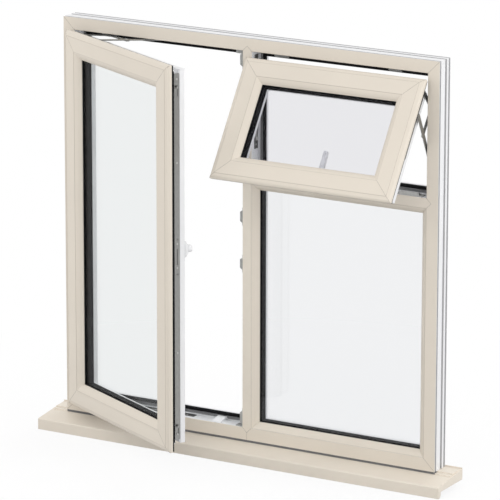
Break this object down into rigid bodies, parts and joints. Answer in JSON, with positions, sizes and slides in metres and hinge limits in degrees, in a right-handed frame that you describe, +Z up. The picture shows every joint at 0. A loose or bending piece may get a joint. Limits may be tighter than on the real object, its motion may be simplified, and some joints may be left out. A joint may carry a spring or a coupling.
{
  "type": "upvc window with open casement and fanlight",
  "caption": "White uPVC window with cream foiled outer face on a projecting cill: side-hung casement and top-hung fanlight shown open beside a fixed light.",
  "frame": {"origin": "middle of the cill's underside, below the frame's outer face", "axes": "+X to the right seen from outside, +Y from outside to inside, +Z up"},
  "size_m": [1.44, 0.4035, 1.338],
  "materials": {
    "cream_foil": "satin cream foil on white plastic",
    "white_upvc": "smooth white plastic",
    "white_handle": "white coated",
    "black_rubber": "black weather seal",
    "black_spacer": "black warm-edge spacer",
    "clear_glass": "clear float glass",
    "zinc_steel": "zinc-plated and stainless hardware"
  },
  "bodies": {
    "window": {"casement_beads": "cream_foil", "casement_bottom_rail": "cream_foil", "casement_gaskets": "black_rubber", "casement_handle_base": "white_handle", "casement_hinge_stile": "cream_foil", "casement_keeps": "zinc_steel", "casement_lip_seal": "black_rubber", "casement_lock": "zinc_steel", "casement_lock_stile": "cream_foil", "casement_opening_seal": "black_rubber", "casement_panes": "clear_glass", "casement_spacer": "black_spacer", "casement_stay_arms": "zinc_steel", "casement_stay_tracks": "zinc_steel", "casement_top_rail": "cream_foil", "cill": "cream_foil", "cill_end_caps": "cream_foil", "cill_seal": "black_rubber", "fanlight_beads": "cream_foil", "fanlight_gaskets": "black_rubber", "fanlight_handle_base": "white_handle", "fanlight_keeps": "zinc_steel", "fanlight_left_stile": "cream_foil", "fanlight_lip_seal": "black_rubber", "fanlight_lock": "zinc_steel", "fanlight_lock_rail": "cream_foil", "fanlight_opening_seal": "black_rubber", "fanlight_panes": "clear_glass", "fanlight_right_stile": "cream_foil", "fanlight_spacer": "black_spacer", "fanlight_stay_arms": "zinc_steel", "fanlight_stay_tracks": "zinc_steel", "fanlight_top_rail": "cream_foil", "fixed_light_beads": "cream_foil", "fixed_light_gaskets": "black_rubber", "fixed_light_panes": "clear_glass", "fixed_light_spacer": "black_spacer", "frame_bottom_rail": "cream_foil", "frame_head": "cream_foil", "frame_left_jamb": "cream_foil", "frame_right_jamb": "cream_foil", "mullion": "cream_foil", "packer_block": "white_upvc", "transom": "cream_foil"},
    "casement_handle": {"casement_handle": "white_handle"},
    "fanlight_handle": {"fanlight_handle": "white_handle"}
  },
  "joints": [
    {"name": "casement_handle_turn", "type": "hinge", "parent": "window", "child": "casement_handle", "pos_m": [-0.08985, -0.23668, 0.6945], "axis": [-0.4695, -0.8829, 0], "range_deg": [0, 90]},
    {"name": "fanlight_handle_turn", "type": "hinge", "parent": "window", "child": "fanlight_handle", "pos_m": [0.31925, -0.15611, 0.93235], "axis": [0, 0.829, -0.5592], "range_deg": [0, 90]}
  ]
}
